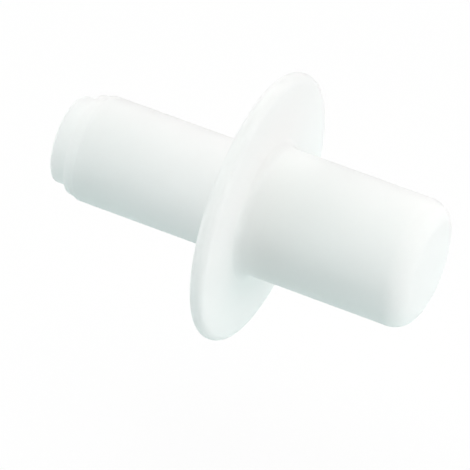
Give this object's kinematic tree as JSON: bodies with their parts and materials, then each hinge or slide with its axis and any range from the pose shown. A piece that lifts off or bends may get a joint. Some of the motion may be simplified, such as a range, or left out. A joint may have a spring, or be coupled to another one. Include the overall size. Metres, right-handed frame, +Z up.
{
  "type": "shelf support pin",
  "caption": "Moulded plastic shelf support pin: a round shank with a stepped lead-in tip, a round stop collar and a thicker round-ended stud that carries the shelf.",
  "frame": {"origin": "centre of the collar's seating face, on the pin's axis, in the plane of the cabinet's side panel", "axes": "+X along the pin's axis, out of the panel towards the end of the shelf stud; the shank points along -X; +Z up as installed"},
  "size_m": [0.0179, 0.0126, 0.0126],
  "materials": {
    "moulded_plastic": "smooth white moulded plastic with a satin sheen"
  },
  "bodies": {
    "root": {"shelf_pin": "moulded_plastic"}
  },
  "joints": []
}
